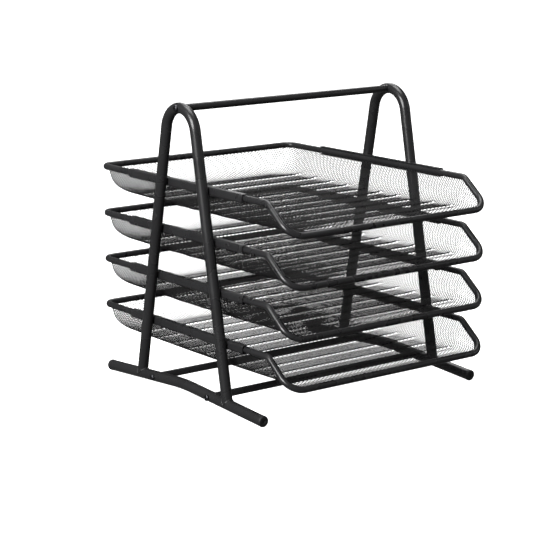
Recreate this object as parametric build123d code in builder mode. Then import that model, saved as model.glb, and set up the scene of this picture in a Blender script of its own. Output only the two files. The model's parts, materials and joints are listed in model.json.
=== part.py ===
"""Four-tier letter tray: mesh trays that slide in channel rails between two bent-tube side frames.

Frame: X across the trays (left is -X), +Y to the back, +Z up, millimetres.
The origin is on the desk, under the middle of the whole object.
"""
import os
from math import atan2, cos, radians, sin, tan

from build123d import *

# ---------------------------------------------------------------- driving dimensions

TIERS = 4
TIER_PITCH = 53.7            # from one tray to the next
TOP_RIM_Z = 233.4            # centreline of the top tray's rim

# Side frames: an arched hoop of tube on a foot of the same tube.
TUBE_R = 6.0
TUBE_WALL = 1.0
HOOP_X = 147.0               # plane of each side frame
FRAME_Y = 1.3                # the frames stand a little behind the trays' middle
ARCH_TOP_Z = 318.0           # tube centreline at the top of the arch
LEG_TILT = 10.76             # degrees each leg leans towards the other
LEG_SPREAD = 81.0            # half distance between the legs, where they meet the foot
FOOT_HALF = 144.5            # half length of a foot with its end plugs
FOOT_TILT = 3.77             # degrees each half of the foot drops towards its end
FOOT_BEND_R = 300.0

# Foot end plugs.
PLUG_CAP = 4.0
PLUG_R = 6.2
PLUG_SPIGOT = 12.0
PLUG_EDGE_R = 1.4
SPIGOT_PLAY = 0.05           # between the spigot and the tube's bore
SINK_R = 1.6                 # the shallow sink in the cap's face
SINK_DEPTH = 0.9
PLUG_END_Z = 6.1             # height of the tube's axis where the plug's cap begins

# Cross bars, handle bar and what fastens them.
BAR_R = 4.0
BAR_WALL = 1.0
BAR_Y = 52.0                 # half distance between the two lower bars
INSERT_LENGTH = 14.0
INSERT_SET_BACK = 2.0
SCREW_R = 2.0                # M4
SCREW_HOLE_R = 2.2
SCREW_LENGTH = 26.0
HEAD_R = 3.6
HEAD_HEIGHT = 2.4
HEAD_EDGE_R = 1.3
SOCKET_ACROSS_FLATS = 2.5
SOCKET_DEPTH = 1.3
THREAD_PLAY = 0.02           # stands for the thread and the insert's fit in the bar

# Rails: folded channel, open towards the tray.
RAIL_HEIGHT = 9.6
RAIL_DEPTH = 6.6
RAIL_SHEET = 0.8
RAIL_BEND_R = 2.0
RAIL_FRONT_Y = -98.5
RAIL_LENGTH = 212.0
RAIL_SEAT = 0.2              # the rail's weld flat, cut this deep into each leg

# Tray rims: one closed loop of small tube.
RIM_R = 3.6
RIM_WALL = 0.8
RIM_X = 136.3                # rim centreline, sides
RIM_Y = 174.5                # rim centreline, front and back
RIM_DROP = 29.7              # the front of the rim lies this far below the rest
KNEE_Y = -137.2              # where the sides start down to the front
KNEE_R = 10.0
FRONT_CORNER_R = 19.2
REAR_CORNER_R = 12.0

# Baskets: the floor and walls of a tray.
SHEET = 0.6
FLOOR_BELOW_FRONT_RIM = 2.2
FLOOR_HALF_WIDTH = 110.5     # edge of the flat floor
FLOOR_REAR_Y = 148.7
FLOOR_CORNER_R = 27.0
WALL_BEND_R = 22.0
WALL_ANGLE = 80.0            # degrees from the floor, above the bend
WALL_IN_FROM_RIM = 2.0       # the wall's top edge is buried in the rim's inner side
WALL_TOP_BELOW_RIM = 1.2

# Ribs pressed up across the floor.
RIBS = 10
RIB_PITCH = 29.7
RIB_MIDDLE_Y = -5.2
RIB_R = 2.6

# ---------------------------------------------------------------- worked-out places

FOOT_SLOPE = tan(radians(FOOT_TILT))
FOOT_TUBE_HALF = FOOT_HALF - PLUG_CAP * cos(radians(FOOT_TILT))
FOOT_PEAK_Z = PLUG_END_Z + FOOT_TUBE_HALF * FOOT_SLOPE


def foot_axis_z(y):
    """Height of a foot's straight axis at y from its middle."""
    return FOOT_PEAK_Z - abs(y) * FOOT_SLOPE


LEG_FOOT_Z = foot_axis_z(LEG_SPREAD)
BAR_Z = foot_axis_z(BAR_Y)
OUTER_X = HOOP_X + TUBE_R
INNER_X = HOOP_X - TUBE_R

# The arch is tangent to both legs: its radius follows from their line and its top.
LEG_LEAN = tan(radians(LEG_TILT))
LEG_GAP_AT_TOP = LEG_SPREAD - (ARCH_TOP_Z - LEG_FOOT_Z) * LEG_LEAN
ARCH_R = LEG_GAP_AT_TOP / (1 / cos(radians(LEG_TILT)) - LEG_LEAN)
ARCH_Z = ARCH_TOP_Z - ARCH_R

# The wall's top edge runs parallel to the rim's centreline.
WALL_RUN = RIM_X - WALL_IN_FROM_RIM - FLOOR_HALF_WIDTH
WALL_RISE = RIM_DROP + FLOOR_BELOW_FRONT_RIM - WALL_TOP_BELOW_RIM
FRONT_WALL_CORNER_R = FRONT_CORNER_R - WALL_IN_FROM_RIM
REAR_WALL_CORNER_R = REAR_CORNER_R - WALL_IN_FROM_RIM
FRONT_SLOPE = atan2(RIM_DROP, RIM_Y + KNEE_Y)
FRONT_CUT_Y = -RIM_Y + WALL_IN_FROM_RIM

RIM_HEIGHTS = [TOP_RIM_Z - tier * TIER_PITCH for tier in range(TIERS)]

parts = {}


def keep(name, part):
    """Label a finished piece and remember it for export."""
    part.label = name
    parts[name] = part


def side_plane(side):
    """The plane of a side frame: its x is the model's Y, its y the model's Z."""
    return Plane(origin=(side * HOOP_X, FRAME_Y, 0), x_dir=(0, 1, 0), z_dir=(1, 0, 0))


# ---------------------------------------------------------------- side frames

def hoop_path(side):
    """Up one leg, round the arch and down the other leg."""
    touch = (ARCH_R * cos(radians(LEG_TILT)), ARCH_Z + ARCH_R * sin(radians(LEG_TILT)))
    with BuildLine(side_plane(side)) as path:
        Line((-LEG_SPREAD, LEG_FOOT_Z), (-touch[0], touch[1]))
        ThreePointArc((-touch[0], touch[1]), (0, ARCH_TOP_Z), touch)
        Line(touch, (LEG_SPREAD, LEG_FOOT_Z))
    return path.wire()


def foot_path(side):
    """Two straight halves that drop to the ends, joined by a long bend in the middle."""
    reach = FOOT_BEND_R * sin(radians(FOOT_TILT))
    crown = foot_axis_z(0) - FOOT_BEND_R * (1 / cos(radians(FOOT_TILT)) - 1)
    with BuildLine(side_plane(side)) as path:
        Line((-FOOT_TUBE_HALF, PLUG_END_Z), (-reach, foot_axis_z(reach)))
        ThreePointArc((-reach, foot_axis_z(reach)), (0, crown), (reach, foot_axis_z(reach)))
        Line((reach, foot_axis_z(reach)), (FOOT_TUBE_HALF, PLUG_END_Z))
    return path.wire()


def tube_along(path, radius, wall=None):
    """A tube along a path, or a solid bar when no wall is given."""
    with BuildPart() as tube:
        with BuildSketch(Plane(origin=path @ 0, z_dir=path % 0)):
            Circle(radius)
            if wall:
                Circle(radius - wall, mode=Mode.SUBTRACT)
        sweep(path=path)
    return tube.part


def side_frame(side, name):
    """One hoop and its foot: the leg ends are coped to sit on the foot tube."""
    hoop_core = tube_along(hoop_path(side), TUBE_R)
    foot_core = tube_along(foot_path(side), TUBE_R)

    with BuildPart() as hoop:
        add(tube_along(hoop_path(side), TUBE_R, TUBE_WALL))
        add(foot_core, mode=Mode.SUBTRACT)
        with BuildSketch(Plane.YZ.offset(side * HOOP_X)):
            with Locations((FRAME_Y, ARCH_TOP_Z)):
                Circle(SCREW_HOLE_R)
        extrude(amount=TUBE_R + 1, both=True, mode=Mode.SUBTRACT)
        with BuildSketch(Plane.XZ.offset(-FRAME_Y)):
            with Locations(*[(side * (INNER_X + RAIL_SEAT - RAIL_DEPTH / 2), z) for z in RIM_HEIGHTS]):
                Rectangle(RAIL_DEPTH, RAIL_HEIGHT)
        extrude(amount=LEG_SPREAD + TUBE_R, both=True, mode=Mode.SUBTRACT)
    keep(f"{name}_hoop", hoop.part)

    with BuildPart() as foot:
        add(tube_along(foot_path(side), TUBE_R, TUBE_WALL))
        with BuildSketch(Plane.YZ.offset(side * HOOP_X)):
            with Locations((FRAME_Y - BAR_Y, BAR_Z), (FRAME_Y + BAR_Y, BAR_Z)):
                Circle(SCREW_HOLE_R)
        extrude(amount=TUBE_R + 1, both=True, mode=Mode.SUBTRACT)
    keep(f"{name}_foot", foot.part)
    return hoop_core, foot_core


def foot_plug(side, end, name):
    """A moulded plug: a spigot in the tube, a round cap outside and a flat to stand on."""
    tilt = radians(FOOT_TILT)
    mouth = (side * HOOP_X, FRAME_Y + end * FOOT_TUBE_HALF, PLUG_END_Z)
    outward = Plane(origin=mouth, z_dir=(0, end * cos(tilt), -sin(tilt)))
    with BuildPart() as plug:
        with BuildSketch(outward):
            Circle(PLUG_R)
        extrude(amount=PLUG_CAP)
        rim = plug.edges().filter_by(GeomType.CIRCLE).sort_by(Axis.Y)[-1 if end > 0 else 0]
        fillet(rim, radius=PLUG_EDGE_R)
        with BuildSketch(outward.offset(PLUG_CAP)):
            Circle(SINK_R)
        extrude(amount=-SINK_DEPTH, mode=Mode.SUBTRACT)
        with BuildSketch(outward):
            Circle(TUBE_R - TUBE_WALL - SPIGOT_PLAY)
        extrude(amount=-PLUG_SPIGOT)
        with BuildSketch(Plane.XY):
            with Locations(mouth[:2]):
                Rectangle(4 * PLUG_R, 8 * PLUG_CAP)
        extrude(amount=-PLUG_R, mode=Mode.SUBTRACT)
    keep(name, plug.part)


# ---------------------------------------------------------------- bars and fasteners

def bar(y, z, cores, name):
    """A straight tube between the side frames, its ends coped to the frame tubes."""
    with BuildPart() as tube:
        with BuildSketch(Plane.YZ):
            with Locations((y, z)):
                Circle(BAR_R)
                Circle(BAR_R - BAR_WALL, mode=Mode.SUBTRACT)
        extrude(amount=HOOP_X, both=True)
        for core in cores:
            add(core, mode=Mode.SUBTRACT)
    keep(name, tube.part)


def bar_inserts(y, z, name):
    """The threaded plugs pressed into the two ends of a bar."""
    with BuildPart() as inserts:
        for side in (-1, 1):
            with BuildSketch(Plane.YZ.offset(side * (INNER_X - INSERT_SET_BACK))):
                with Locations((y, z)):
                    Circle(BAR_R - BAR_WALL - THREAD_PLAY)
                    Circle(SCREW_R + THREAD_PLAY, mode=Mode.SUBTRACT)
            extrude(amount=-side * INSERT_LENGTH)
    keep(name, inserts.part)


def screws(places, name):
    """Pan-head socket screws driven inwards through the frame tube at each (y, z)."""
    with BuildPart() as group:
        for side in (-1, 1):
            seat = Plane.YZ.offset(side * OUTER_X)
            with BuildSketch(seat):
                with Locations(*places):
                    Circle(HEAD_R)
            extrude(amount=side * HEAD_HEIGHT)
            crowns = group.edges().filter_by(GeomType.CIRCLE).group_by(Axis.X)[-1 if side > 0 else 0]
            fillet(crowns, radius=HEAD_EDGE_R)
            with BuildSketch(Plane.YZ.offset(side * (OUTER_X + HEAD_HEIGHT))):
                with Locations(*places):
                    RegularPolygon(SOCKET_ACROSS_FLATS / 2, 6, major_radius=False)
            extrude(amount=-side * SOCKET_DEPTH, mode=Mode.SUBTRACT)
            with BuildSketch(seat):
                with Locations(*places):
                    Circle(SCREW_R)
            extrude(amount=-side * SCREW_LENGTH)
    keep(name, group.part)


# ---------------------------------------------------------------- rails and trays

def rail(side, rim_z, name):
    """A folded channel welded inside both legs; the tray's rim runs in it."""
    back = Plane.XZ.offset(-(RAIL_FRONT_Y + RAIL_LENGTH))
    web_x = INNER_X + RAIL_SEAT
    stock = 2 * RAIL_DEPTH
    with BuildPart() as channel:
        with BuildSketch(back):
            with Locations((side * (web_x - stock / 2), rim_z)):
                RectangleRounded(stock, RAIL_HEIGHT, RAIL_BEND_R)
                RectangleRounded(stock - 2 * RAIL_SHEET, RAIL_HEIGHT - 2 * RAIL_SHEET,
                                 RAIL_BEND_R - RAIL_SHEET, mode=Mode.SUBTRACT)
            with Locations((side * (web_x - RAIL_DEPTH - stock / 2), rim_z)):
                Rectangle(stock, 2 * RAIL_HEIGHT, mode=Mode.SUBTRACT)
        extrude(amount=RAIL_LENGTH)
    keep(name, channel.part)


def rim_loop(rim_z, radius):
    """The rim as a closed loop: back and sides level, then down to the low front."""
    low = rim_z - RIM_DROP
    with BuildLine() as path:
        FilletPolyline(
            (0, RIM_Y, rim_z),
            (RIM_X, RIM_Y, rim_z),
            (RIM_X, KNEE_Y, rim_z),
            (RIM_X, -RIM_Y, low),
            (0, -RIM_Y, low),
            radius=[REAR_CORNER_R, KNEE_R, FRONT_CORNER_R],
        )
    with BuildPart() as loop:
        add(tube_along(path.wire(), radius))
        mirror(about=Plane.YZ)
    return loop.part


def rim(rim_z, name):
    """The rim tube itself."""
    with BuildPart() as loop:
        add(rim_loop(rim_z, RIM_R))
        add(rim_loop(rim_z, RIM_R - RIM_WALL), mode=Mode.SUBTRACT)
    keep(name, loop.part)


def wall_profile():
    """(run, height) up a wall from the flat floor: round the bend, then straight to the rim."""
    profile = []
    for turn in (0, WALL_ANGLE / 3, 2 * WALL_ANGLE / 3, WALL_ANGLE):
        run = WALL_BEND_R * sin(radians(turn))
        profile.append((run, WALL_BEND_R * (1 - cos(radians(turn)))))
    profile.append((WALL_RUN, WALL_RISE))
    return profile


def front_stations():
    """(y, run, rise) of the wall's top edge from the knee down and round the front corner."""
    corner_y = -RIM_Y + FRONT_CORNER_R * cos(FRONT_SLOPE)
    stations = [(KNEE_Y, WALL_RUN, WALL_RISE)]
    for turn in (0, 22.5, 45, 67.5, 90):
        y = corner_y - FRONT_WALL_CORNER_R * cos(FRONT_SLOPE) * sin(radians(turn))
        run = WALL_RUN - FRONT_WALL_CORNER_R * (1 - cos(radians(turn)))
        stations.append((y, run, WALL_RISE - (KNEE_Y - y) * tan(FRONT_SLOPE)))
    return stations


def tub(floor_z, inset):
    """The solid block that fills a basket, drawn in by the inset on every side and the floor."""
    bottom = floor_z + inset
    half = FLOOR_HALF_WIDTH - inset
    with BuildPart() as block:
        for run, height in wall_profile():
            corner = FLOOR_CORNER_R + (REAR_WALL_CORNER_R - FLOOR_CORNER_R) * run / WALL_RUN
            reach = FLOOR_REAR_Y - inset + run
            with BuildSketch(Plane.XY.offset(bottom + height)):
                RectangleRounded(2 * (half + run), 2 * reach, corner)
        loft(ruled=True)
        split(bisect_by=Plane.XZ.offset(-KNEE_Y), keep=Keep.BOTTOM)
        for y, top_run, top_rise in front_stations():
            right = []
            for run, height in wall_profile():
                right.append((half + run * top_run / WALL_RUN, bottom + height * top_rise / WALL_RISE))
            left = [(-x, z) for x, z in reversed(right)]
            with BuildSketch(Plane.XZ.offset(-y)):
                with BuildLine():
                    Polyline(*right, *left, close=True)
                make_face()
        loft(ruled=True)
    return block.part


def basket(rim_z, name):
    """Ribbed floor and three walls in thin sheet, their edges buried in the rim's inner side."""
    floor_z = rim_z - RIM_DROP - FLOOR_BELOW_FRONT_RIM
    rib_places = Plane.YZ.location * Location((RIB_MIDDLE_Y, floor_z, 0))
    with BuildPart() as shell:
        add(tub(floor_z, 0))
        add(tub(floor_z, SHEET), mode=Mode.SUBTRACT)
        with BuildSketch(rib_places):
            with GridLocations(RIB_PITCH, 0, RIBS, 1):
                Circle(RIB_R)
        extrude(amount=FLOOR_HALF_WIDTH, both=True)
        with BuildSketch(rib_places):
            with GridLocations(RIB_PITCH, 0, RIBS, 1):
                Circle(RIB_R - SHEET)
            with Locations((0, -RIB_R)):
                Rectangle(2 * RIM_Y, 2 * RIB_R)
        extrude(amount=FLOOR_HALF_WIDTH - SHEET, both=True, mode=Mode.SUBTRACT)
        with Locations((0, FRONT_CUT_Y - RIM_R, floor_z)):
            Box(2 * RIM_X, 2 * RIM_R, 4 * RIM_R, mode=Mode.SUBTRACT)
        with Locations((0, 0, floor_z - RIB_R)):
            Box(2 * RIM_X, 2 * RIM_Y, 2 * RIB_R, mode=Mode.SUBTRACT)
        add(rim_loop(rim_z, RIM_R), mode=Mode.SUBTRACT)
    keep(name, shell.part)


# ---------------------------------------------------------------- assembly

left_hoop_core, left_foot_core = side_frame(-1, "left")
right_hoop_core, right_foot_core = side_frame(1, "right")

for side, side_name in ((-1, "left"), (1, "right")):
    for end, end_name in ((-1, "front"), (1, "rear")):
        foot_plug(side, end, f"{side_name}_{end_name}_foot_plug")

feet = (left_foot_core, right_foot_core)
hoops = (left_hoop_core, right_hoop_core)
bar(FRAME_Y - BAR_Y, BAR_Z, feet, "front_cross_bar")
bar(FRAME_Y + BAR_Y, BAR_Z, feet, "rear_cross_bar")
bar(FRAME_Y, ARCH_TOP_Z, hoops, "handle_bar")
bar_inserts(FRAME_Y - BAR_Y, BAR_Z, "front_bar_inserts")
bar_inserts(FRAME_Y + BAR_Y, BAR_Z, "rear_bar_inserts")
bar_inserts(FRAME_Y, ARCH_TOP_Z, "handle_bar_inserts")
screws([(FRAME_Y - BAR_Y, BAR_Z), (FRAME_Y + BAR_Y, BAR_Z)], "cross_bar_screws")
screws([(FRAME_Y, ARCH_TOP_Z)], "handle_screws")

for number, tier_z in enumerate(RIM_HEIGHTS, start=1):
    rail(-1, tier_z, f"left_rail_{number}")
    rail(1, tier_z, f"right_rail_{number}")
    rim(tier_z, f"tray_{number}_rim")
    basket(tier_z, f"tray_{number}_basket")

os.makedirs("parts", exist_ok=True)
for part_name, part in parts.items():
    export_step(part, f"parts/{part_name}.step")
print(f"{len(parts)} parts, arch radius {ARCH_R:.1f}, bars at z {BAR_Z:.2f}")
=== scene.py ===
# %% [markdown]
# # A four-tier letter tray
#
# Four mesh trays slide in channel rails between two arched tube frames. The sizes and the moving
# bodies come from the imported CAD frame. This script puts finely modelled surfaces and finishes
# round that frame, and every new piece rides on the body that it belongs to.

# %% Load the frame
import json
import math

import bpy
import numpy as np
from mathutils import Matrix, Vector


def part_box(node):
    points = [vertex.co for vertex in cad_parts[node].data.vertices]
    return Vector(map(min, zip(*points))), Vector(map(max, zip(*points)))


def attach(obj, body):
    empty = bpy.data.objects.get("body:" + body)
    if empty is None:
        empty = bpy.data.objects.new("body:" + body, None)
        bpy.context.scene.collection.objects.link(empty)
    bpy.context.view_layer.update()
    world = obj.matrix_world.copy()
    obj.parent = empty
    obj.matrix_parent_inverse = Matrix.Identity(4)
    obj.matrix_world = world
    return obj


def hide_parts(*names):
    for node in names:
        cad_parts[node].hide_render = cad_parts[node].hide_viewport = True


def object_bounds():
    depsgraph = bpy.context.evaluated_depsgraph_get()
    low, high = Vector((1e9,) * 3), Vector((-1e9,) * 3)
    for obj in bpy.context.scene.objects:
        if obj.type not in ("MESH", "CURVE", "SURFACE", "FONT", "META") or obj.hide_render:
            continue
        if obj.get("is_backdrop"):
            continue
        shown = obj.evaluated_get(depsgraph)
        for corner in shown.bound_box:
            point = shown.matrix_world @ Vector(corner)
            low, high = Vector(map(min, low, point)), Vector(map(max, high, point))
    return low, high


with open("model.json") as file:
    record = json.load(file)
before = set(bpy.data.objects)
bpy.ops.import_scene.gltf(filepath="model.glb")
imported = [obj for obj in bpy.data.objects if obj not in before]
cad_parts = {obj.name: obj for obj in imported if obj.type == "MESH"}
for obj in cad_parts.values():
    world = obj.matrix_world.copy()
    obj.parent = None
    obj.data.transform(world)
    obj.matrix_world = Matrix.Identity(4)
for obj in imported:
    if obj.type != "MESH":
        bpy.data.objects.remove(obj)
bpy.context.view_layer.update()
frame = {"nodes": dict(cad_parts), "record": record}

# %% [markdown]
# ## Real sizes
#
# Everything is worked out in millimetres, as a workshop drawing is, and turned to metres only when
# a mesh is made. Where the frame already holds a size, it is read from there, so that the looks
# can't drift away from the model that the physics uses.

# %% Sizes from the frame
MM = 0.001
TIERS = 4


def box_mm(node):
    """The lowest and highest corner of a CAD node, in millimetres."""
    low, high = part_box(node)
    return np.array(low) / MM, np.array(high) / MM


RIM_R = 3.6
rim_low, rim_high = box_mm("tray_1_rim")
RIM_X = rim_high[0] - RIM_R
RIM_Y = rim_high[1] - RIM_R
RIM_DROP = rim_high[2] - rim_low[2] - 2 * RIM_R
RIM_HEIGHTS = [box_mm(f"tray_{k}_rim")[1][2] - RIM_R for k in range(1, TIERS + 1)]

TUBE_R = 6.0
hoop_low, hoop_high = box_mm("right_hoop")
HOOP_X = (hoop_low[0] + hoop_high[0]) / 2
FRAME_Y = (hoop_low[1] + hoop_high[1]) / 2
ARCH_TOP = hoop_high[2] - TUBE_R
print(f"rims {RIM_X:.1f} by {RIM_Y:.1f} mm, at heights {[round(z, 1) for z in RIM_HEIGHTS]}")

# %% [markdown]
# ## From arrays to a mesh
#
# A surface here is a grid of points worked out by numpy. Blender can take a whole array at once
# with `foreach_set`, which is far quicker than adding points one by one. Quads are listed by the
# numbers of their corners, counter-clockwise seen from outside, so that faces point outwards.

# %% Helpers that make a piece
def grid_quads(rows, columns, close_rows=False, close_columns=False):
    """Corner numbers of the quads between neighbouring points of a rows by columns grid."""
    i = np.arange(rows if close_rows else rows - 1)[:, None]
    j = np.arange(columns if close_columns else columns - 1)[None, :]
    i_next, j_next = (i + 1) % rows, (j + 1) % columns
    corners = [i * columns + j, i * columns + j_next,
               i_next * columns + j_next, i_next * columns + j]
    return np.stack(np.broadcast_arrays(*corners), axis=-1).reshape(-1, 4)


def fan(ring, centre):
    """Triangles from a ring of point numbers to one centre point, which closes an end."""
    return np.stack([ring, np.roll(ring, -1), np.full(len(ring), centre)], axis=-1)


def make_piece(name, points, quads, body, material, stands_for=(), triangles=None, smooth=60):
    """A mesh object from points in millimetres, riding on a body and standing for CAD nodes."""
    triangles = np.empty((0, 3), int) if triangles is None else triangles
    mesh = bpy.data.meshes.new(name)
    mesh.vertices.add(len(points))
    mesh.vertices.foreach_set("co", (np.asarray(points) * MM).astype(np.float32).ravel())
    mesh.loops.add(quads.size + triangles.size)
    corners = np.concatenate([quads.ravel(), triangles.ravel()])
    mesh.loops.foreach_set("vertex_index", corners.astype(np.int32))
    starts = [np.arange(len(quads)) * 4, quads.size + np.arange(len(triangles)) * 3]
    mesh.polygons.add(len(quads) + len(triangles))
    mesh.polygons.foreach_set("loop_start", np.concatenate(starts).astype(np.int32))
    mesh.update(calc_edges=True)
    mesh.validate()
    if smooth:
        mesh.shade_smooth()
        mesh.set_sharp_from_angle(angle=math.radians(smooth))
    mesh.materials.append(material)
    piece = bpy.data.objects.new(name, mesh)
    bpy.context.scene.collection.objects.link(piece)
    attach(piece, body)
    if stands_for:
        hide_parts(*stands_for)
    print(f"{name}: {len(points)} points, {2 * len(quads) + len(triangles)} triangles")
    return piece


print("a grid of 3 by 4 points has", len(grid_quads(3, 4)), "quads, and",
      len(grid_quads(3, 4, close_columns=True)), "when its columns close into a ring")

# %% [markdown]
# ## Finishes
#
# The steel is coated with black powder: charged plastic powder baked to a tough satin skin. Up
# close it has a fine orange peel, and the gloss drifts a little from place to place. The end plugs
# are moulded polyethylene and the screws are zinc plated black. A picture of a surface blurs close
# up and has to be unwrapped, so each material is a small network of nodes instead. It reads Object
# coordinates, so its grain keeps its real size on every piece.

# %% Helpers that make a material
def linear(hex_colour):
    """An sRGB hex colour as the linear red, green, blue and alpha that shaders use."""
    coded = np.array([int(hex_colour[i:i + 2], 16) for i in (1, 3, 5)]) / 255
    return (*np.where(coded <= 0.04045, coded / 12.92, ((coded + 0.055) / 1.055) ** 2.4), 1.0)


def add_node(tree, kind, inputs=None, **settings):
    """One shader node: settings are its properties, and inputs are values or sockets to link."""
    node = tree.nodes.new(kind)
    for name, value in settings.items():
        setattr(node, name, value)
    for name, value in (inputs or {}).items():
        if isinstance(value, bpy.types.NodeSocket):
            tree.links.new(value, node.inputs[name])
        else:
            node.inputs[name].default_value = value
    return node


def new_material(name):
    """An empty node material: (material, its tree, its output node)."""
    material = bpy.data.materials.new(name)
    material.use_nodes = True
    material.node_tree.nodes.clear()
    return material, material.node_tree, add_node(material.node_tree, "ShaderNodeOutputMaterial")


def grained(name, dark, light, roughness, cloud_mm, grain_mm, grain_depth_mm, **shader):
    """A satin surface: two close colours in soft clouds, drifting gloss and a fine raised grain."""
    material, tree, output = new_material(name)
    place = add_node(tree, "ShaderNodeTexCoord").outputs["Object"]
    cloud = add_node(tree, "ShaderNodeTexNoise",
                     {"Vector": place, "Scale": 1 / (cloud_mm * MM), "Detail": 3.0}).outputs["Fac"]
    colour = add_node(tree, "ShaderNodeMix",
                      {"Factor": cloud, "A": linear(dark), "B": linear(light)}, data_type="RGBA")
    gloss = add_node(tree, "ShaderNodeMapRange",
                     {"Value": cloud, "From Min": 0.3, "From Max": 0.7,
                      "To Min": roughness[0], "To Max": roughness[1]})
    grain = add_node(tree, "ShaderNodeTexNoise",
                     {"Vector": place, "Scale": 1 / (grain_mm * MM), "Detail": 2.0}).outputs["Fac"]
    bump = add_node(tree, "ShaderNodeBump",
                    {"Height": grain, "Strength": 1.0, "Distance": grain_depth_mm * MM})
    surface = add_node(tree, "ShaderNodeBsdfPrincipled",
                       {"Base Color": colour.outputs["Result"],
                        "Roughness": gloss.outputs["Result"],
                        "Normal": bump.outputs["Normal"], **shader})
    tree.links.new(surface.outputs["BSDF"], output.inputs["Surface"])
    return material


print("middle grey #808080 is", round(linear("#808080")[0], 3), "in linear values, not 0.5")

# %% Materials
# Polyester powder coat on steel tube: satin black, with a fine orange peel of a millimetre or so.
powder_coat = grained("satin_black_powder_coat", "#232324", "#2d2d2e", (0.23, 0.33),
                      cloud_mm=30.0, grain_mm=1.1, grain_depth_mm=0.025, IOR=1.5)
# The same powder on expanded mesh builds up thicker at the strands' edges, so it looks duller.
coated_mesh = grained("powder_coated_expanded_mesh", "#191919", "#272728", (0.60, 0.74),
                      cloud_mm=18.0, grain_mm=0.9, grain_depth_mm=0.01, IOR=1.4)
# Moulded black polyethylene: a little softer and greyer than the coated steel.
plug_plastic = grained("moulded_black_polyethylene", "#1b1b1c", "#262627", (0.5, 0.62),
                       cloud_mm=6.0, grain_mm=0.5, grain_depth_mm=0.02, IOR=1.51)
# Zinc plated and blackened screws: a dark metal with a slight oily sheen.
black_zinc = grained("black_zinc_plated_steel", "#4a4a4d", "#5d5d61", (0.3, 0.42),
                     cloud_mm=2.0, grain_mm=0.3, grain_depth_mm=0.01, Metallic=1.0)
# Turned brass of the threaded inserts, which only show when a screw is out.
turned_brass = grained("turned_brass", "#b3935a", "#c7a868", (0.25, 0.38),
                       cloud_mm=2.0, grain_mm=0.4, grain_depth_mm=0.01, Metallic=1.0)

slot_materials = {"frame": powder_coat, "mesh": coated_mesh, "plug": plug_plastic,
                  "screw": black_zinc, "insert": turned_brass}
for entry in frame["record"]["subparts"]:
    node = frame["nodes"][entry["node"]]
    node.data.materials.clear()
    node.data.materials.append(slot_materials[entry["material_slot"]])
print("materials:", sorted(material.name for material in slot_materials.values()))

# %% [markdown]
# ## Bent tube
#
# A bent tube is a circle carried along a path. The path is made of straight runs with an arc at
# each bend, as a tube bender makes it. A curve object with a round bevel would look much the same,
# but here we choose where the points lie: close together in the bends and far apart on the runs.
# At each point of the path the circle stands square to the direction of travel, and a fixed hint
# keeps it from twisting.

# %% Paths with rounded corners
def arc_points(before, corner, after, radius, step):
    """Points on the arc of a given radius that rounds the corner between two straight runs."""
    to_before = (before - corner) / np.linalg.norm(before - corner)
    to_after = (after - corner) / np.linalg.norm(after - corner)
    half = math.acos(np.clip(to_before @ to_after, -1, 1)) / 2
    middle = (to_before + to_after) / np.linalg.norm(to_before + to_after)
    centre = corner + middle * radius / math.sin(half)
    start = corner + to_before * radius / math.tan(half) - centre
    end = corner + to_after * radius / math.tan(half) - centre
    sweep = math.pi - 2 * half
    share = np.linspace(0, 1, max(3, int(radius * sweep / step) + 2))[:, None]
    blend = np.sin((1 - share) * sweep) * start + np.sin(share * sweep) * end
    return centre + blend / math.sin(sweep)


def rounded_path(corners, radii, step=1.0, run_step=12.0, closed=False):
    """Straight runs between corners, each corner rounded by its radius: an array of points."""
    corners = np.asarray(corners, float)
    count = len(corners)
    bends = []
    for i in range(count):
        if closed or 0 < i < count - 1:
            after = corners[(i + 1) % count]
            bends.append(arc_points(corners[i - 1], corners[i], after, radii[i], step))
        else:
            bends.append(corners[i:i + 1])
    pieces = []
    for i, bend in enumerate(bends):
        pieces.append(bend)
        if closed or i < count - 1:
            start, end = bend[-1], bends[(i + 1) % count][0]
            stops = max(2, int(np.linalg.norm(end - start) / run_step) + 1)
            pieces.append(start + (end - start) * np.linspace(0, 1, stops + 1)[1:-1, None])
    return np.concatenate(pieces)


elbow = rounded_path([(0, 0, 0), (100, 0, 0), (100, 100, 0)], [0, 20.0, 0])
print("two runs of 100 mm with a 20 mm bend between them:", len(elbow), "points,",
      round(float(np.linalg.norm(np.diff(elbow, axis=0), axis=1).sum()), 1), "mm long")


# %% Profiles carried along a path
def carry(profile, path, hint, closed=False):
    """Carries a flat profile along a path: point = path + across * side + up * normal.

    side is the hint made square to the direction of travel, and normal is square to both.
    Returns an array of path points by profile points by three.
    """
    if closed:
        travel = np.roll(path, -1, axis=0) - np.roll(path, 1, axis=0)
    else:
        travel = np.gradient(path, axis=0)
    travel /= np.linalg.norm(travel, axis=1, keepdims=True)
    side = hint - (travel @ hint)[:, None] * travel
    side /= np.linalg.norm(side, axis=1, keepdims=True)
    normal = np.cross(travel, side)
    profile = np.broadcast_to(profile, (len(path), *np.shape(profile)[-2:]))
    return path[:, None] + profile[..., :1] * side[:, None] + profile[..., 1:] * normal[:, None]


def circle(radius, sides=40):
    """A circle as (across, up) points."""
    turn = np.arange(sides) * 2 * np.pi / sides
    return radius * np.stack([np.cos(turn), np.sin(turn)], axis=-1)


def tube(name, path, radius, hint, body, stands_for, closed=False, sides=40):
    """A round tube along a path, its ends closed by a fan when the path is open."""
    rings = carry(circle(radius, sides), path, np.asarray(hint, float), closed)
    points = rings.reshape(-1, 3)
    quads = grid_quads(len(path), sides, close_rows=closed, close_columns=True)
    triangles = None
    if not closed:
        first, last = np.arange(sides), np.arange(sides) + (len(path) - 1) * sides
        points = np.concatenate([points, path[:1], path[-1:]])
        triangles = np.concatenate([fan(first[::-1], len(points) - 2), fan(last, len(points) - 1)])
    return make_piece(name, points, quads, body, powder_coat, stands_for, triangles)


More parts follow.
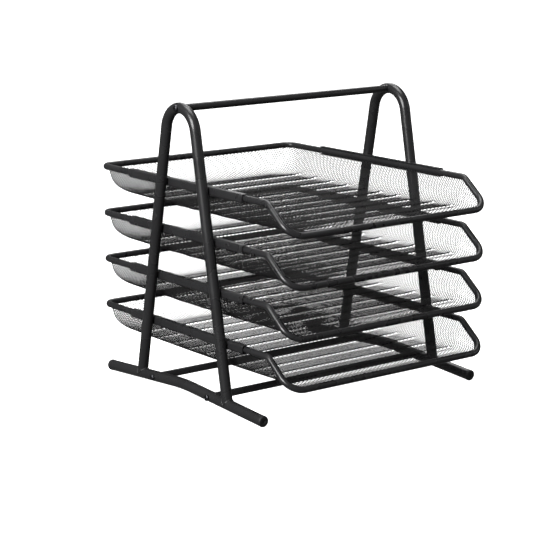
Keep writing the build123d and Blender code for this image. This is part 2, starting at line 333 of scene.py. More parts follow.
print("one ring of a tube has", len(circle(TUBE_R)), "points")

# %% [markdown]
# ## The side frames
#
# Each side frame is an arch on a foot. The legs lean towards each other by about eleven degrees
# and meet in a tight arch. The foot is one tube with a slight bend in the middle, so that only its
# ends touch the desk. The arch's radius isn't typed in: it is the only one that is tangent to both
# legs and reaches the frame's full height, so it is worked out from those.

# %% Arches and feet
LEG_LEAN = math.tan(math.radians(10.76))
FOOT_SLOPE = math.tan(math.radians(3.77))
FOOT_BEND_R = 300.0
FOOT_END = box_mm("right_foot")[1][1] - FRAME_Y
FOOT_END_Z = 6.1
FOOT_PEAK = FOOT_END_Z + FOOT_END * FOOT_SLOPE
LEG_SPREAD = 81.0
LEG_FOOT_Z = FOOT_PEAK - LEG_SPREAD * FOOT_SLOPE

gap_at_top = LEG_SPREAD - (ARCH_TOP - LEG_FOOT_Z) * LEG_LEAN
ARCH_R = gap_at_top / (math.sqrt(1 + LEG_LEAN ** 2) - LEG_LEAN)
apex_z = LEG_FOOT_Z + LEG_SPREAD / LEG_LEAN


def side_frame(side, name):
    """The arch and foot tubes of one side frame, each along its own rounded path."""
    x = side * HOOP_X
    arch = rounded_path([(x, FRAME_Y - LEG_SPREAD, LEG_FOOT_Z), (x, FRAME_Y, apex_z),
                         (x, FRAME_Y + LEG_SPREAD, LEG_FOOT_Z)], [0, ARCH_R, 0])
    tube(f"{name}_arch_tube", arch, TUBE_R, (1, 0, 0), "stand", [f"{name}_hoop"], sides=48)
    foot = rounded_path([(x, FRAME_Y - FOOT_END, FOOT_END_Z), (x, FRAME_Y, FOOT_PEAK),
                         (x, FRAME_Y + FOOT_END, FOOT_END_Z)], [0, FOOT_BEND_R, 0], step=2.0)
    tube(f"{name}_foot_tube", foot, TUBE_R, (1, 0, 0), "stand", [f"{name}_foot"], sides=48)


SIDES = ((-1, "left"), (1, "right"))
ENDS = ((-1, "front"), (1, "rear"))
for side, side_name in SIDES:
    side_frame(side, side_name)
print(f"arch radius {ARCH_R:.1f} mm, foot peak {FOOT_PEAK:.1f} mm above the desk")

# %% [markdown]
# ## Weld beads
#
# Where a leg meets its foot, the welder lays a bead round the joint. The joint's line is where two
# cylinders cross. A Boolean modifier could find it, but would leave a ragged mesh to draw it from.
# So for each direction round the leg, we slide along the leg until the distance from the foot's
# axis is the foot's radius, which is one quadratic equation for the whole ring.

# %% Beads where the legs meet the feet
BEAD_R = 0.9
BEAD_SIDES = 12
BEAD_STEPS = 96
ON_SURFACE = 1.01            # how far out the bead's line lies, as a share of the tube's radius


def crossing_ring(leg_base, leg_way, foot_point, foot_way, radius, turns):
    """Points round a leg where its surface meets the foot's surface, by solving for the slide s."""
    across = np.array([1.0, 0.0, 0.0])
    other = np.cross(leg_way, across)
    start = leg_base + radius * (np.cos(turns)[:, None] * across + np.sin(turns)[:, None] * other)
    flat_way = leg_way - (leg_way @ foot_way) * foot_way
    from_foot = start - foot_point
    flat = from_foot - (from_foot @ foot_way)[:, None] * foot_way
    a = flat_way @ flat_way
    b = 2 * flat @ flat_way
    c = (flat * flat).sum(axis=1) - radius ** 2
    slide = (-b + np.sqrt(np.maximum(b * b - 4 * a * c, 0))) / (2 * a)
    return start + slide[:, None] * leg_way


def weld_bead(name, ring, radius, body):
    """A bead carried round a closed ring, its thickness rippling as the weld pool advanced.

    The ripple is 1 plus two small sines, with seventeen and seven waves round the ring.
    """
    steps = np.arange(len(ring)) * 2 * np.pi / len(ring)
    ripple = 1 + 0.10 * np.sin(17 * steps) + 0.06 * np.sin(7 * steps + 1)
    profile = circle(radius, BEAD_SIDES)[None] * ripple[:, None, None]
    points = carry(profile, ring, np.array([0.0, 0.0, 1.0]), closed=True).reshape(-1, 3)
    quads = grid_quads(len(ring), BEAD_SIDES, close_rows=True, close_columns=True)
    return make_piece(name, points, quads, body, powder_coat)


turns = np.arange(BEAD_STEPS) * 2 * np.pi / BEAD_STEPS
for side, side_name in SIDES:
    for end, end_name in ENDS:
        base = np.array([side * HOOP_X, FRAME_Y + end * LEG_SPREAD, LEG_FOOT_Z])
        leg_way = np.array([0, -end * LEG_LEAN, 1]) / math.hypot(1, LEG_LEAN)
        foot_way = np.array([0, 1, -end * FOOT_SLOPE]) / math.hypot(1, FOOT_SLOPE)
        ring = crossing_ring(base, leg_way, base, foot_way, TUBE_R * ON_SURFACE, turns)
        weld_bead(f"{side_name}_{end_name}_leg_weld", ring, BEAD_R, "stand")

# %% [markdown]
# ## End plugs
#
# A plug is a turned shape: a profile of radius against distance, spun round the foot's axis. Its
# edge is rounded, its face has the small sink left by the mould's pin, and its lowest part is flat,
# because that is what the whole tray stands on. A Screw modifier could spin the profile too. With
# the points in an array, the flat is one line more: no point may lie below the desk.

# %% Plugs
def spun(profile, origin, way, sides=40):
    """Spins (distance, radius) pairs: point = origin + distance * way + radius * out."""
    way = np.asarray(way, float) / np.linalg.norm(way)
    first = np.cross(way, (1.0, 0.0, 0.0) if abs(way[0]) < 0.9 else (0.0, 1.0, 0.0))
    first /= np.linalg.norm(first)
    second = np.cross(way, first)
    turn = np.arange(sides)[None, :] * 2 * np.pi / sides
    distance, radius = np.asarray(profile, float).T[:, :, None]
    out = np.cos(turn)[..., None] * first + np.sin(turn)[..., None] * second
    return np.asarray(origin, float) + distance[..., None] * way + radius[..., None] * out


def quarter(centre, radius, start, end, steps=8):
    """An arc in a profile, as (distance, radius) pairs."""
    turn = np.radians(np.linspace(start, end, steps))
    return [(centre[0] + radius * math.cos(a), centre[1] + radius * math.sin(a)) for a in turn]


PLUG_R = 6.2
PLUG_CAP = 4.0
PLUG_EDGE = 1.4              # radius of the rounded edge
SPIGOT_R = 4.9
SPIGOT_IN = 1.0              # only the start of the spigot is made, as the tube hides the rest
LIP_R = 0.3
SINK_R = 2.2
SINK_DEPTH = 0.9
SINK_FLOOR_R = 1.5
SINK_MIDDLE_R = 0.4
plug_profile = [(-SPIGOT_IN, SPIGOT_R), (0.0, SPIGOT_R),
                *quarter((LIP_R, PLUG_R - LIP_R), LIP_R, 180, 90, 4),
                *quarter((PLUG_CAP - PLUG_EDGE, PLUG_R - PLUG_EDGE), PLUG_EDGE, 90, 0),
                *quarter((PLUG_CAP - LIP_R, SINK_R), LIP_R, 0, -90, 4),
                (PLUG_CAP - SINK_DEPTH, SINK_FLOOR_R), (PLUG_CAP - SINK_DEPTH, SINK_MIDDLE_R)]
for side, side_name in SIDES:
    for end, end_name in ENDS:
        mouth = (side * HOOP_X, FRAME_Y + end * FOOT_END, FOOT_END_Z)
        rings = spun(plug_profile, mouth, (0, end, -FOOT_SLOPE))
        rows, sides = rings.shape[:2]
        centre = rings[-1].mean(axis=0, keepdims=True)
        back = rings[0].mean(axis=0, keepdims=True)
        points = np.concatenate([rings.reshape(-1, 3), centre, back])
        points[:, 2] = np.maximum(points[:, 2], 0.0)
        caps = [fan(np.arange(sides) + (rows - 1) * sides, rows * sides),
                fan(np.arange(sides)[::-1], rows * sides + 1)]
        quads = grid_quads(rows, sides, close_columns=True)
        name = f"{side_name}_{end_name}"
        make_piece(f"{name}_end_plug", points, quads, "stand", plug_plastic,
                   [f"{name}_foot_plug"], np.concatenate(caps), smooth=40)

# %% [markdown]
# ## Cross bars and handle bar
#
# The three straight bars are thin tubes whose ends are saw-cut and butt against the frame tubes.
# The real ends are notched to fit the round tubes. It is simpler to let a plain end stop inside the
# frame tube, where no gap shows, and that looks the same.

# %% Bars
BAR_R = 4.0
BAR_STOPS = 40
for node in ("front_cross_bar", "rear_cross_bar", "handle_bar"):
    low, high = box_mm(node)
    y, z = (low[1:] + high[1:]) / 2
    reach = HOOP_X - TUBE_R / 2    # half a radius inside each side frame
    line = np.stack([np.linspace(-reach, reach, BAR_STOPS), np.full(BAR_STOPS, y),
                     np.full(BAR_STOPS, z)], axis=-1)
    tube(f"{node}_tube", line, BAR_R, (0, 0, 1), "stand", [node], sides=32)

# %% [markdown]
# ## Screws
#
# Each bar is held by a screw at either end. A pan head is a low dome with a six-sided socket. The
# top of the head is one grid: rings shrink from the dome's foot to the socket's edge, change from
# round to six-sided, and go down the socket to its floor. So the socket needs no boolean cut.

# %% Screw heads
HEAD_R = 3.6
HEAD_HEIGHT = 2.4
HEAD_EDGE = 1.3              # radius of the dome's rounded edge
HEAD_FLAT_IN = 1.7           # from the dome's edge to its flat top
HEAD_SUNK = 0.15             # how far the seat lies inside the tube's surface
SOCKET_HALF = 1.25
SOCKET_DEPTH = 1.3
SOCKET_MOUTH = 1.3           # how much wider the socket's mouth is, and the depth it narrows over
MOUTH_DEPTH = 0.1


def screw_head(seat, outward, sides=48):
    """Rings of one pan head. The socket's radius at an angle is half its width over its cosine."""
    edge = quarter((HEAD_HEIGHT - HEAD_EDGE, HEAD_R - HEAD_EDGE), HEAD_EDGE, 90, 12, 7)
    profile = [(0.0, HEAD_R), *edge, (HEAD_HEIGHT, HEAD_R - HEAD_FLAT_IN),
               (HEAD_HEIGHT, SOCKET_HALF * SOCKET_MOUTH), (HEAD_HEIGHT - MOUTH_DEPTH, SOCKET_HALF),
               (HEAD_HEIGHT - SOCKET_DEPTH, SOCKET_HALF)]
    rings = spun(profile, seat, (outward, 0, 0), sides)
    along = np.array([[distance * outward, 0, 0] for distance, _ in profile[-2:]])
    axis = (np.asarray(seat, float) + along)[:, None]
    turn = np.arange(sides) * 2 * np.pi / sides
    hexagon = 1 / np.cos((turn + np.pi / 6) % (np.pi / 3) - np.pi / 6)
    rings[-2:] = axis + (rings[-2:] - axis) * hexagon[None, :, None]
    return rings


def screw_set(name, places, node):
    """All the heads of one CAD node as a single piece, with closed seats and socket floors."""
    points, quads, triangles, used = [], [], [], 0
    for y, z in places:
        for outward in (-1, 1):
            rings = screw_head((outward * (HOOP_X + TUBE_R - HEAD_SUNK), y, z), outward)
            rows, sides = rings.shape[:2]
            ends = [rings[-1].mean(axis=0, keepdims=True), rings[0].mean(axis=0, keepdims=True)]
            points.append(np.concatenate([rings.reshape(-1, 3), *ends]))
            quads.append(grid_quads(rows, sides, close_columns=True) + used)
            triangles.append(fan(np.arange(sides) + (rows - 1) * sides, rows * sides) + used)
            triangles.append(fan(np.arange(sides)[::-1], rows * sides + 1) + used)
            used += rows * sides + 2
    make_piece(name, np.concatenate(points), np.concatenate(quads), "stand", black_zinc,
               [node], np.concatenate(triangles), smooth=35)


def middle_yz(node):
    """The y and z of the middle of a CAD node."""
    low, high = box_mm(node)
    return tuple((low[1:] + high[1:]) / 2)


screw_set("cross_bar_screw_heads", [middle_yz("front_cross_bar"), middle_yz("rear_cross_bar")],
          "cross_bar_screws")
screw_set("handle_screw_heads", [middle_yz("handle_bar")], "handle_screws")

# %% [markdown]
# ## Rails
#
# A rail is a strip of sheet steel folded into a channel that is open towards the tray. Its section
# is worked out as an outer line and an inner line one sheet apart. The two lines give the walls,
# and the strip between them closes each end. A Solidify modifier would give the sheet's thickness
# too, but it leaves sharp ends. Here the ends shrink slightly, as the coating rounds a cut edge.

# %% Rails
RAIL_SHEET = 0.8
rail_low, rail_high = box_mm("right_rail_1")
RAIL_DEPTH = rail_high[0] - rail_low[0]
RAIL_HALF = (rail_high[2] - rail_low[2]) / 2
RAIL_BEND = 2.0
END_SOFT = 0.25              # the length over which the coating rounds a cut end
END_SHRINK = 0.35            # how far its edges draw in, as a share of the way to the middle


def channel_line(inset, steps=7):
    """(in from the web, up) along one face of the channel, from lower lip to upper lip."""
    bend = RAIL_BEND - inset
    corner = (RAIL_BEND, RAIL_HALF - RAIL_BEND)
    turn = np.radians(np.linspace(0, 90, steps))
    upper = np.stack([corner[0] - bend * np.cos(turn), corner[1] + bend * np.sin(turn)], axis=-1)
    upper = np.concatenate([[[inset, 0.0]], upper, [[RAIL_DEPTH, RAIL_HALF - inset]]])
    lower = upper[:0:-1] * (1, -1)
    return np.concatenate([lower, upper])


def rail(side, name, rim_z):
    """A channel: outer and inner faces carried from front to back, lips and ends closed."""
    outer, inner = channel_line(0.0), channel_line(RAIL_SHEET)
    middle = (outer + inner) / 2
    section = np.concatenate([outer, inner[::-1]])
    core = np.concatenate([middle, middle[::-1]])
    length = rail_high[1] - rail_low[1]
    stops = np.array([0.0, END_SOFT, 40.0, 80.0, 120.0, 160.0, length - END_SOFT, length])
    shrink = np.array([END_SHRINK, 0, 0, 0, 0, 0, 0, END_SHRINK])[:, None, None]
    shape = section + (core - section) * shrink
    x = side * (rail_high[0] - shape[..., 0])
    y = np.broadcast_to((rail_low[1] + stops)[:, None], x.shape)
    points = np.stack([x, y, rim_z + shape[..., 1]], axis=-1).reshape(-1, 3)
    count, half = len(section), len(outer)
    quads = grid_quads(len(stops), count, close_columns=True)[:, ::-1]
    strip = np.arange(half - 1)
    end = np.stack([strip, strip + 1, count - 2 - strip, count - 1 - strip], axis=-1)
    far_end = end[:, ::-1] + (len(stops) - 1) * count
    quads = np.concatenate([quads, end, far_end])
    if side < 0:
        quads = quads[:, ::-1]
    make_piece(f"{name}_channel", points, quads, "stand", powder_coat, [name], smooth=50)


for number, rim_z in enumerate(RIM_HEIGHTS, start=1):
    rail(-1, f"left_rail_{number}", rim_z)
    rail(1, f"right_rail_{number}", rim_z)

# %% [markdown]
# ## Tray rims
#
# Each rim is one closed loop of small tube. It is level round the back and sides, bends down at
# the knees, and crosses the front low down, so that paper can be reached. The same helpers that
# made the frame tubes make it, with a path whose last point joins its first.

# %% Rims
KNEE_Y = -137.2
KNEE_R = 10.0
FRONT_CORNER_R = 19.2
REAR_CORNER_R = 12.0


def rim_path(rim_z):
    """The rim's centreline: level back and sides, then sloping sides and a low front."""
    low = rim_z - RIM_DROP
    corners = [(RIM_X, RIM_Y, rim_z), (RIM_X, KNEE_Y, rim_z), (RIM_X, -RIM_Y, low),
               (-RIM_X, -RIM_Y, low), (-RIM_X, KNEE_Y, rim_z), (-RIM_X, RIM_Y, rim_z)]
    radii = [REAR_CORNER_R, KNEE_R, FRONT_CORNER_R, FRONT_CORNER_R, KNEE_R, REAR_CORNER_R]
    return rounded_path(corners, radii, closed=True)


for number, rim_z in enumerate(RIM_HEIGHTS, start=1):
    tube(f"tray_{number}_rim_tube", rim_path(rim_z), RIM_R, (0, 0, 1), f"tray_{number}",
         [f"tray_{number}_rim"], closed=True, sides=32)

# %% [markdown]
# ## The basket's shape
#
# A basket starts as a flat sheet of mesh and is pressed into a tub. We could model a tub and put a
# mesh pattern on it, but the openings would stretch and swim. So the tub is a function of two flat
# coordinates, u across and v along the sheet, and the pattern stays regular in the flat sheet.
#
# Inside the floor's outline a point only moves up or down: the floor is a shallow dish with pressed
# ribs, and a step behind the front rim. Outside the outline, the distance past it climbs the wall:
# first round a bend, then straight up to the rim. Round a back corner, the outline's corner
# tightens as it climbs, and lengths along the outline are shared out evenly, as the mesh shears and
# shares out its stretch.

# %% Sizes of the basket
FLOOR_BELOW_FRONT_RIM = 2.2
MESH_LIFT = 0.3              # from the floor's lowest level to the middle of the sheet
IN_FROM_RIM = 2.0            # where the sheet's edge meets the rim, from the rim's centreline
BELOW_RIM = 1.2
FLOOR_HALF = 110.5
FLOOR_REAR = 148.7
FLOOR_CORNER = 27.0
BEND_R = 22.0
BEND_TURN = math.radians(80)
WALL_RUN = RIM_X - IN_FROM_RIM - FLOOR_HALF
WALL_RISE = RIM_DROP + FLOOR_BELOW_FRONT_RIM - BELOW_RIM - MESH_LIFT
FRONT_TOP_CORNER = FRONT_CORNER_R - IN_FROM_RIM
REAR_TOP_CORNER = REAR_CORNER_R - IN_FROM_RIM
CORE_X = FLOOR_HALF - FLOOR_CORNER
CORE_Y = FLOOR_REAR - FLOOR_CORNER
SHARED = 60.0                # how far each way from a corner the outline's lengths are shared out
SLOPE = math.atan2(RIM_DROP, RIM_Y + KNEE_Y)
FRONT_EDGE_IN = 1.4
FRONT_EDGE = -RIM_Y + FRONT_EDGE_IN
LEAST_RISE = 0.6             # the wall never gets lower than this, even at the front
print(f"walls run out {WALL_RUN:.1f} mm and rise {WALL_RISE:.1f} mm")

# %% The line of the walls
bend_turns = np.linspace(0, BEND_TURN, 16)
wall_runs = np.append(BEND_R * np.sin(bend_turns), WALL_RUN)
wall_rises = np.append(BEND_R * (1 - np.cos(bend_turns)), WALL_RISE)
wall_steps = np.hypot(np.diff(wall_runs), np.diff(wall_rises))
wall_shares = np.append(0, np.cumsum(wall_steps)) / wall_steps.sum()
# One more point carries the wall's line on past the rim, for slopes measured at its edge.
PAST = 0.2
wall_runs = np.append(wall_runs, wall_runs[-1] + (wall_runs[-1] - wall_runs[-2]) * PAST)
wall_rises = np.append(wall_rises, wall_rises[-1] + (wall_rises[-1] - wall_rises[-2]) * PAST)
wall_shares = np.append(wall_shares, 1 + (1 - wall_shares[-2]) * PAST)


def wall_top(v):
    """How far out and up the wall's top edge stands at v: less between knee and front corner."""
    down = np.clip(KNEE_Y - v, 0, None) * math.tan(SLOPE)
    corner_start = -RIM_Y + FRONT_CORNER_R * math.cos(SLOPE)
    turn = np.arcsin(np.clip((corner_start - v) / (FRONT_TOP_CORNER * math.cos(SLOPE)), 0, 1))
    run = WALL_RUN - FRONT_TOP_CORNER * (1 - np.cos(turn))
    return run, np.maximum(WALL_RISE - down, LEAST_RISE)


def wall_length(v):
    """The length of sheet from the floor's edge to the rim at v, summed along the wall's line."""
    top_run, top_rise = wall_top(np.ravel(v)[:, None])
    runs = np.diff(wall_runs[:-1]) * top_run / WALL_RUN
    rises = np.diff(wall_rises[:-1]) * top_rise / WALL_RISE
    return np.hypot(runs, rises).sum(axis=1).reshape(np.shape(v))


print(f"sheet climbs {float(wall_length(np.array(0.0))):.1f} mm from the floor's edge to the rim")

# %% Ribs, dish and step of the floor
RIBS = 10
RIB_PITCH = 29.7
RIB_MIDDLE = -5.2
RIB_HEIGHT = 2.5
RIB_HALF = 2.7
RIB_CLIMB = 10.0             # how far the ribs run up the bend of the walls
RIB_FADE = 5.0               # the length over which they fade there
DISH_LOW = 0.5               # how far the dish's middle lies below the flat floor
DISH_RISE = 2.0
DISH_AT = 133.0              # the distance from the middle where the dish stops rising
STEP_BACK = -145.5
STEP_FRONT = -151.0
STEP_DROP = 2.0


def ribs(climb, v):
    """Height of the pressed ribs: a squared cosine across each one, fading up the bend."""
    place = (v - RIB_MIDDLE) / RIB_PITCH + (RIBS - 1) / 2
    nearest = np.clip(np.round(place), 0, RIBS - 1)
    off = np.clip((place - nearest) * RIB_PITCH / RIB_HALF, -1, 1)
    end = np.clip((RIB_CLIMB - climb) / RIB_FADE, 0, 1)
    return RIB_HEIGHT * np.cos(off * np.pi / 2) ** 2 * end * end * (3 - 2 * end)


def sag(v):
    """Height of the floor's own shape at v: a parabola for the dish, less a step at the front."""
    dish = np.minimum(DISH_RISE * (v / DISH_AT) ** 2 - DISH_LOW, DISH_RISE - DISH_LOW)
    step = np.clip((STEP_BACK - v) / (STEP_BACK - STEP_FRONT), 0, 1)
    return dish - STEP_DROP * step ** 2 * (3 - 2 * step)


print("floor height at the middle, at the back and at the front edge:",
      [round(float(sag(v)), 2) for v in (0.0, DISH_AT, FRONT_EDGE)])


# %% The pressed sheet as a function
def pressed(u, v):
    """Sheet coordinates in millimetres to a point of the basket, measured from its flat floor.

    reach is the distance from the core of the floor, and climb is the part of it past the outline.
    share is climb over the wall's length, and gives how far out and up the point stands. place is
    the length along the outline, which is straight, then bends by corner, then is straight again.
    """
    across, along = np.maximum(np.abs(u) - CORE_X, 0), np.maximum(v - CORE_Y, 0)
    reach = np.hypot(across, along)
    climb = np.maximum(reach - FLOOR_CORNER, 0)
    top_run, top_rise = wall_top(v)
    share = climb / wall_length(v)
    run = np.interp(share, wall_shares, wall_runs) * top_run / WALL_RUN
    rise = np.interp(share, wall_shares, wall_rises) * top_rise / WALL_RISE

    corner = FLOOR_CORNER + (REAR_TOP_CORNER - FLOOR_CORNER) * run / WALL_RUN
    centre_x, centre_y = FLOOR_HALF + run - corner, FLOOR_REAR + run - corner
    turn = np.arctan2(along, np.maximum(across, 1e-9))
    flat_place = np.minimum(v, CORE_Y) - CORE_Y + SHARED + reach * turn
    flat_place += np.where(along > 0, np.maximum(CORE_X - np.abs(u), 0), 0)
    flat_total = 2 * SHARED + reach * np.pi / 2
    side_run = SHARED + centre_y - CORE_Y
    real_total = side_run + SHARED + centre_x - CORE_X + corner * np.pi / 2
    place = flat_place * real_total / flat_total
    bend = np.clip((place - side_run) / corner, 0, np.pi / 2)
    past = np.maximum(place - side_run - corner * np.pi / 2, 0)
    x = centre_x + corner * np.cos(bend) - past
    y = CORE_Y - SHARED + np.minimum(place, side_run) + corner * np.sin(bend)
    x = np.where(flat_place > flat_total, np.abs(u), x)
    y = np.where(flat_place < 0, v, y)
    on_floor = climb <= 0
    x = np.where(on_floor, np.abs(u), x) * np.sign(u)
    y = np.where(on_floor, v, y)
    floor_shape = sag(v) * np.clip(1 - share, 0, 1) ** 2
    return np.stack([x, y, rise + floor_shape + ribs(reach - FLOOR_CORNER, v)], axis=-1)


print("the middle of the sheet lands at", pressed(np.array(0.0), np.array(0.0)).round(2), "mm")

# %% [markdown]
# ## Expanded mesh
#
# Expanded mesh is slit and stretched sheet steel. Each row is one strand that zigzags between its
# neighbours and is joined to them at the knuckles, which leaves diamond-shaped openings. A pattern
# of see-through and solid in a material would be lighter, but it has no thickness and catches no
# light on its edges, so the strands are real. Every row is a chain of points in the flat sheet.
# Four corners round each point, two across the strand and two through its thickness, make a
# strand of four flat sides that follows the pressed shape.

# %% Strands in the sheet
DIAMOND_LONG = 5.6           # a diamond's length and width, from knuckle to knuckle
DIAMOND_SHORT = 2.7
STRAND_WIDTH = 0.51
STRAND_THICK = 0.27
KNUCKLE_TUCK = 0.45          # how far a knuckle moves towards its own strand, as a share of a width
WALL_STARTS = 0.01           # a length belongs to the wall from this far past the floor's outline


def sheet_normal(u, v, step=0.2):
    """The unit normal of the pressed sheet, from differences along u and v."""
    along_u = pressed(u + step, v) - pressed(u - step, v)
    along_v = pressed(u, v + step) - pressed(u, v - step)
    normal = np.cross(along_u, along_v)
    return normal / np.maximum(np.linalg.norm(normal, axis=-1, keepdims=True), 1e-9)


def strands():
    """Corners of every strand of one basket, which lengths are kept, and which are in the walls.

    Node i of row k is at u = i * long / 2 and v = k * short / 2, raised to the next row at every
    other node. Nodes past the rim are pulled back to it, and strands wholly past it are left out.
    """
    climb = wall_steps.sum()
    count = 2 * int(np.ceil((FLOOR_HALF + climb) / DIAMOND_LONG)) + 1
    rows = np.arange(int(np.floor(FRONT_EDGE / (DIAMOND_SHORT / 2))),
                     int(np.ceil((FLOOR_REAR + climb) / (DIAMOND_SHORT / 2))))
    i = np.arange(2 * count + 1) - count
    odd = (i[None, :] + rows[:, None]) % 2
    u = np.broadcast_to(i * DIAMOND_LONG / 2, odd.shape).copy()
    inward = np.where(odd, -1, 1) * STRAND_WIDTH * KNUCKLE_TUCK
    v = (rows[:, None] + odd) * DIAMOND_SHORT / 2 + inward

    across, along = np.maximum(np.abs(u) - CORE_X, 0), np.maximum(v - CORE_Y, 0)
    reach = np.hypot(across, along)
    limit = FLOOR_CORNER + wall_length(v)
    inside = (reach <= limit) & (v >= FRONT_EDGE)
    pull = np.minimum(1, limit / np.maximum(reach, 1e-9))
    u = np.where(across > 0, np.sign(u) * (CORE_X + across * pull), u)
    v = np.where(along > 0, CORE_Y + along * pull, np.maximum(v, FRONT_EDGE))

    half = STRAND_WIDTH / 2 * math.hypot(DIAMOND_LONG, DIAMOND_SHORT) / DIAMOND_LONG
    normal = sheet_normal(u, v) * STRAND_THICK / 2
    near, far = pressed(u, v - half), pressed(u, v + half)
    corners = np.stack([near - normal, near + normal, far + normal, far - normal], axis=-2)

    kept = inside[:, :-1] | inside[:, 1:]
    wall = np.maximum(reach[:, :-1], reach[:, 1:]) > FLOOR_CORNER + WALL_STARTS
    return corners, kept, wall


corners, kept, wall = strands()
print("one basket:", int(kept.sum()), "lengths of strand,",
      int((kept & wall).sum()), "of them in its walls")


# %% Baskets
def strand_quads(kept, nodes_per_row):
    """Four side quads for each kept length of strand, and a quad over each end of a chain."""
    row, i = np.nonzero(kept)
    start = (row * nodes_per_row + i) * 4
    c = np.arange(4)
    c_next = (c + 1) % 4
    sides = np.stack([start[:, None] + c, start[:, None] + 4 + c, start[:, None] + 4 + c_next,
                      start[:, None] + c_next], axis=-1).reshape(-1, 4)
    padded = np.pad(kept, ((0, 0), (1, 1)))
    first = ~padded[:, :-2] & padded[:, 1:-1]
    last = ~padded[:, 2:] & padded[:, 1:-1]
    opens = first[row, i]
    closes = last[row, i]
    near_caps = start[opens][:, None] + c
    far_caps = start[closes][:, None] + 4 + c[::-1]
    return np.concatenate([sides, near_caps, far_caps])


def only_used(points, quads):
    """Drops the points that no quad uses, and renumbers the quads to match."""
    used, renumbered = np.unique(quads, return_inverse=True)
    return points[used], renumbered.reshape(quads.shape)


mesh_points = corners.reshape(-1, 3)
floor_part = only_used(mesh_points, strand_quads(kept & ~wall, corners.shape[1]))
wall_part = only_used(mesh_points, strand_quads(kept & wall, corners.shape[1]))

for number, rim_z in enumerate(RIM_HEIGHTS, start=1):
    lift = np.array([0, 0, rim_z - RIM_DROP - FLOOR_BELOW_FRONT_RIM + MESH_LIFT])
    for part, (points, quads) in (("floor", floor_part), ("wall", wall_part)):
        make_piece(f"tray_{number}_{part}_mesh", points + lift, quads, f"tray_{number}",
                   coated_mesh, [f"tray_{number}_basket"], smooth=0)

# %% [markdown]
# ## Studio
#
# The tray stands in a white cove: a floor that sweeps up into a dome. The cove glows by itself, so
# it stays pale from every side, and it is hidden from the light that the tray receives. Four soft
# lamps do that work: a strong one at the left, a wide one above, one behind that draws a thin light
# line along the tubes, and a weak one at the right that keeps the shaded sides from going flat.

# %% Cove
FLOOR_R = 14.0               # metres, as every size of the studio is
SWEEP_R = 10.0
DOME_R = 23.0
DOME_LOW, DOME_HIGH = 12.0, 20.0
POLE_R = 0.02                # the first and last rings are this small, and a fan closes them
FLOOR_GAP = 0.0003           # keeps the floor from touching the plugs


def cove():
    """A floor that turns up into a dome: a profile spun round the vertical axis."""
    flat = np.linspace(POLE_R, FLOOR_R, 12)
    turn = np.linspace(0, np.pi / 2, 16)[1:]
    radius = np.concatenate([flat, FLOOR_R + SWEEP_R * np.sin(turn),
                             np.linspace(DOME_R, POLE_R, 10)])
    height = np.concatenate([flat * 0, SWEEP_R * (1 - np.cos(turn)),
                             np.linspace(DOME_LOW, DOME_HIGH, 10)])
    rings = spun(np.stack([height, radius], axis=-1), (0, 0, -FLOOR_GAP), (0, 0, 1), sides=64)
    mesh = bpy.data.meshes.new("studio_cove")
    rows, sides = rings.shape[:2]
    points = np.concatenate([rings.reshape(-1, 3), rings[:1].mean(axis=1), rings[-1:].mean(axis=1)])
    quads = grid_quads(rows, sides, close_columns=True)
    ends = [fan(np.arange(sides)[::-1], rows * sides),
            fan(np.arange(sides) + (rows - 1) * sides, rows * sides + 1)]
    mesh.from_pydata(points.tolist(), [], quads.tolist() + np.concatenate(ends).tolist())
    mesh.shade_smooth()
    stage = bpy.data.objects.new("studio_cove", mesh)
    bpy.context.scene.collection.objects.link(stage)
    stage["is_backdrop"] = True
    return stage


# Matt white paint that also glows, so that the tray's shadow on it fades out.
material, tree, output = new_material("studio_white")
surface = add_node(tree, "ShaderNodeBsdfPrincipled",
                   {"Base Color": linear("#f2f2f2"), "Roughness": 0.9,
                    "Emission Color": linear("#ffffff"), "Emission Strength": 1.25})
tree.links.new(surface.outputs["BSDF"], output.inputs["Surface"])
backdrop = cove()
backdrop.data.materials.append(material)
backdrop.visible_diffuse = False
backdrop.visible_glossy = False
backdrop.visible_shadow = False
print("cove:", len(backdrop.data.vertices), "points, closed over the tray like a tent")

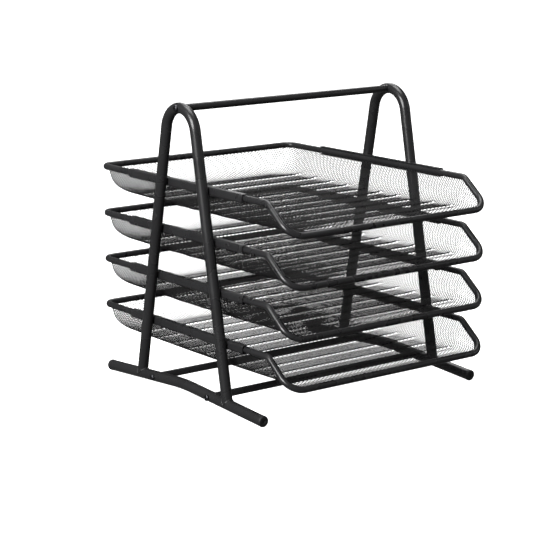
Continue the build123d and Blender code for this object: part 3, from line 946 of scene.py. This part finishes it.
# %% Lamps and world
def softbox(name, place, aim, size, power):
    """A square area lamp of a size in metres, turned to face a point."""
    lamp = bpy.data.lights.new(name, "AREA")
    lamp.shape, lamp.size, lamp.energy = "SQUARE", size, power
    holder = bpy.data.objects.new(name, lamp)
    holder.location = place
    holder.rotation_mode = "QUATERNION"
    holder.rotation_quaternion = (Vector(aim) - Vector(place)).to_track_quat("-Z", "Y")
    holder.visible_camera = False
    bpy.context.scene.collection.objects.link(holder)


softbox("left_softbox", (-1.9, -0.4, 1.1), (0, 0, 0.15), 1.1, 62.0)
softbox("top_softbox", (0.1, 0.2, 2.2), (0, 0, 0.1), 1.3, 30.0)
softbox("back_softbox", (1.0, 1.3, 1.6), (0, 0, 0.15), 1.1, 12.0)
softbox("right_softbox", (1.9, -1.2, 0.9), (0, 0, 0.15), 1.0, 2.0)
print("lamps, in watts:", {lamp.name: lamp.energy for lamp in bpy.data.lights})

world = bpy.data.worlds.new("studio_air")
world.use_nodes = True
world.node_tree.nodes["Background"].inputs["Color"].default_value = linear("#ffffff")
world.node_tree.nodes["Background"].inputs["Strength"].default_value = 0.10
bpy.context.scene.world = world

# %% [markdown]
# ## Camera
#
# A long lens from the front left, a little above the top tray, shows the side frame, the knees of
# the rims and the floors of the trays at once.

# %% Camera
camera = bpy.data.objects.new("camera", bpy.data.cameras.new("camera"))
bpy.context.scene.collection.objects.link(camera)
azimuth, elevation = math.radians(-37.84), math.radians(12.56)
distance = 2.1218
target = Vector((-0.00884, 0.00735, 0.11129))
back = Vector((math.sin(azimuth) * math.cos(elevation), -math.cos(azimuth) * math.cos(elevation),
               math.sin(elevation)))
camera.location = target + back * distance
camera.rotation_mode = "QUATERNION"
camera.rotation_quaternion = (-back).to_track_quat("-Z", "Y")
camera.data.sensor_width = 36.0
camera.data.lens = 120.63
bpy.context.scene.camera = camera
bpy.context.scene.view_settings.view_transform = "Standard"
print(f"camera {distance:.2f} m from its target, with a {camera.data.lens:.0f} mm lens")

# %% The size of what is drawn
low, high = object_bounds()
print("visual box in metres:", [round(b - a, 4) for a, b in zip(low, high)])
